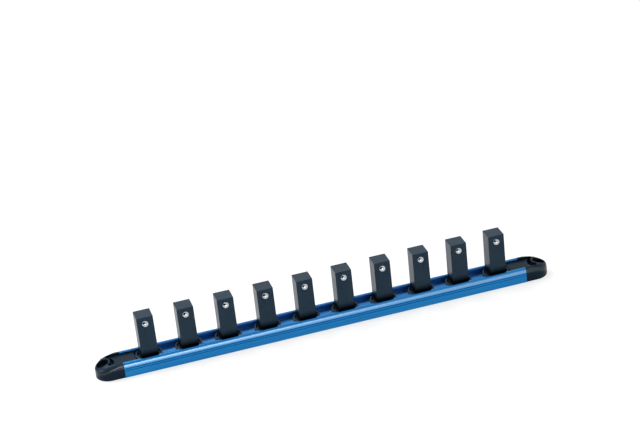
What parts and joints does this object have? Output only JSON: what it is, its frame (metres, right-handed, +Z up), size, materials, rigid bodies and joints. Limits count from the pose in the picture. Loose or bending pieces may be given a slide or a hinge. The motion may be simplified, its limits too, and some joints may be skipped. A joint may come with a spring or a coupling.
{
  "type": "socket rail",
  "caption": "Aluminium socket rail with sliding square clips for half-inch drive sockets, sprung detent balls and moulded end caps with hanging holes.",
  "frame": {"origin": "middle of the rail's underside", "axes": "+X along the rail towards the right end cap, +Y away from the detent balls, +Z up along the posts"},
  "size_m": [0.3524, 0.0214, 0.0432],
  "materials": {
    "anodised_rail": "blue anodised, satin, drawn along the rail",
    "cap_plastic": "moulded, fine satin",
    "clip_plastic": "moulded, satin",
    "ball_steel": "polished",
    "spring_steel": "bright drawn wire"
  },
  "bodies": {
    "rail": {"rail": "anodised_rail", "end_cap_left": "cap_plastic", "end_cap_right": "cap_plastic"},
    "clip_1": {"clip_post_1": "clip_plastic", "detent_spring_1": "spring_steel"},
    "clip_2": {"clip_post_2": "clip_plastic", "detent_spring_2": "spring_steel"},
    "clip_3": {"clip_post_3": "clip_plastic", "detent_spring_3": "spring_steel"},
    "clip_4": {"clip_post_4": "clip_plastic", "detent_spring_4": "spring_steel"},
    "clip_5": {"clip_post_5": "clip_plastic", "detent_spring_5": "spring_steel"},
    "clip_6": {"clip_post_6": "clip_plastic", "detent_spring_6": "spring_steel"},
    "clip_7": {"clip_post_7": "clip_plastic", "detent_spring_7": "spring_steel"},
    "clip_8": {"clip_post_8": "clip_plastic", "detent_spring_8": "spring_steel"},
    "clip_9": {"clip_post_9": "clip_plastic", "detent_spring_9": "spring_steel"},
    "clip_10": {"clip_post_10": "clip_plastic", "detent_spring_10": "spring_steel"},
    "ball_1": {"detent_ball_1": "ball_steel"},
    "ball_2": {"detent_ball_2": "ball_steel"},
    "ball_3": {"detent_ball_3": "ball_steel"},
    "ball_4": {"detent_ball_4": "ball_steel"},
    "ball_5": {"detent_ball_5": "ball_steel"},
    "ball_6": {"detent_ball_6": "ball_steel"},
    "ball_7": {"detent_ball_7": "ball_steel"},
    "ball_8": {"detent_ball_8": "ball_steel"},
    "ball_9": {"detent_ball_9": "ball_steel"},
    "ball_10": {"detent_ball_10": "ball_steel"}
  },
  "joints": [
    {"name": "clip_1_slide", "type": "slide", "parent": "rail", "child": "clip_1", "axis": [1, 0, 0], "range_m": [0, 0.0049]},
    {"name": "clip_2_slide", "type": "slide", "parent": "rail", "child": "clip_2", "axis": [1, 0, 0], "range_m": [-0.0049, 0.0049]},
    {"name": "clip_3_slide", "type": "slide", "parent": "rail", "child": "clip_3", "axis": [1, 0, 0], "range_m": [-0.0049, 0.0049]},
    {"name": "clip_4_slide", "type": "slide", "parent": "rail", "child": "clip_4", "axis": [1, 0, 0], "range_m": [-0.0049, 0.0049]},
    {"name": "clip_5_slide", "type": "slide", "parent": "rail", "child": "clip_5", "axis": [1, 0, 0], "range_m": [-0.0049, 0.0049]},
    {"name": "clip_6_slide", "type": "slide", "parent": "rail", "child": "clip_6", "axis": [1, 0, 0], "range_m": [-0.0049, 0.0049]},
    {"name": "clip_7_slide", "type": "slide", "parent": "rail", "child": "clip_7", "axis": [1, 0, 0], "range_m": [-0.0049, 0.0049]},
    {"name": "clip_8_slide", "type": "slide", "parent": "rail", "child": "clip_8", "axis": [1, 0, 0], "range_m": [-0.0049, 0.0049]},
    {"name": "clip_9_slide", "type": "slide", "parent": "rail", "child": "clip_9", "axis": [1, 0, 0], "range_m": [-0.0049, 0.0049]},
    {"name": "clip_10_slide", "type": "slide", "parent": "rail", "child": "clip_10", "axis": [1, 0, 0], "range_m": [-0.0049, 0]},
    {"name": "ball_1_press", "type": "slide", "parent": "clip_1", "child": "ball_1", "axis": [0, 1, 0], "range_m": [0, 0.0014], "stiffness_N_per_m": 3000, "springref_m": -0.001, "deforming": ["detent_spring_1"]},
    {"name": "ball_2_press", "type": "slide", "parent": "clip_2", "child": "ball_2", "axis": [0, 1, 0], "range_m": [0, 0.0014], "stiffness_N_per_m": 3000, "springref_m": -0.001, "deforming": ["detent_spring_2"]},
    {"name": "ball_3_press", "type": "slide", "parent": "clip_3", "child": "ball_3", "axis": [0, 1, 0], "range_m": [0, 0.0014], "stiffness_N_per_m": 3000, "springref_m": -0.001, "deforming": ["detent_spring_3"]},
    {"name": "ball_4_press", "type": "slide", "parent": "clip_4", "child": "ball_4", "axis": [0, 1, 0], "range_m": [0, 0.0014], "stiffness_N_per_m": 3000, "springref_m": -0.001, "deforming": ["detent_spring_4"]},
    {"name": "ball_5_press", "type": "slide", "parent": "clip_5", "child": "ball_5", "axis": [0, 1, 0], "range_m": [0, 0.0014], "stiffness_N_per_m": 3000, "springref_m": -0.001, "deforming": ["detent_spring_5"]},
    {"name": "ball_6_press", "type": "slide", "parent": "clip_6", "child": "ball_6", "axis": [0, 1, 0], "range_m": [0, 0.0014], "stiffness_N_per_m": 3000, "springref_m": -0.001, "deforming": ["detent_spring_6"]},
    {"name": "ball_7_press", "type": "slide", "parent": "clip_7", "child": "ball_7", "axis": [0, 1, 0], "range_m": [0, 0.0014], "stiffness_N_per_m": 3000, "springref_m": -0.001, "deforming": ["detent_spring_7"]},
    {"name": "ball_8_press", "type": "slide", "parent": "clip_8", "child": "ball_8", "axis": [0, 1, 0], "range_m": [0, 0.0014], "stiffness_N_per_m": 3000, "springref_m": -0.001, "deforming": ["detent_spring_8"]},
    {"name": "ball_9_press", "type": "slide", "parent": "clip_9", "child": "ball_9", "axis": [0, 1, 0], "range_m": [0, 0.0014], "stiffness_N_per_m": 3000, "springref_m": -0.001, "deforming": ["detent_spring_9"]},
    {"name": "ball_10_press", "type": "slide", "parent": "clip_10", "child": "ball_10", "axis": [0, 1, 0], "range_m": [0, 0.0014], "stiffness_N_per_m": 3000, "springref_m": -0.001, "deforming": ["detent_spring_10"]}
  ]
}
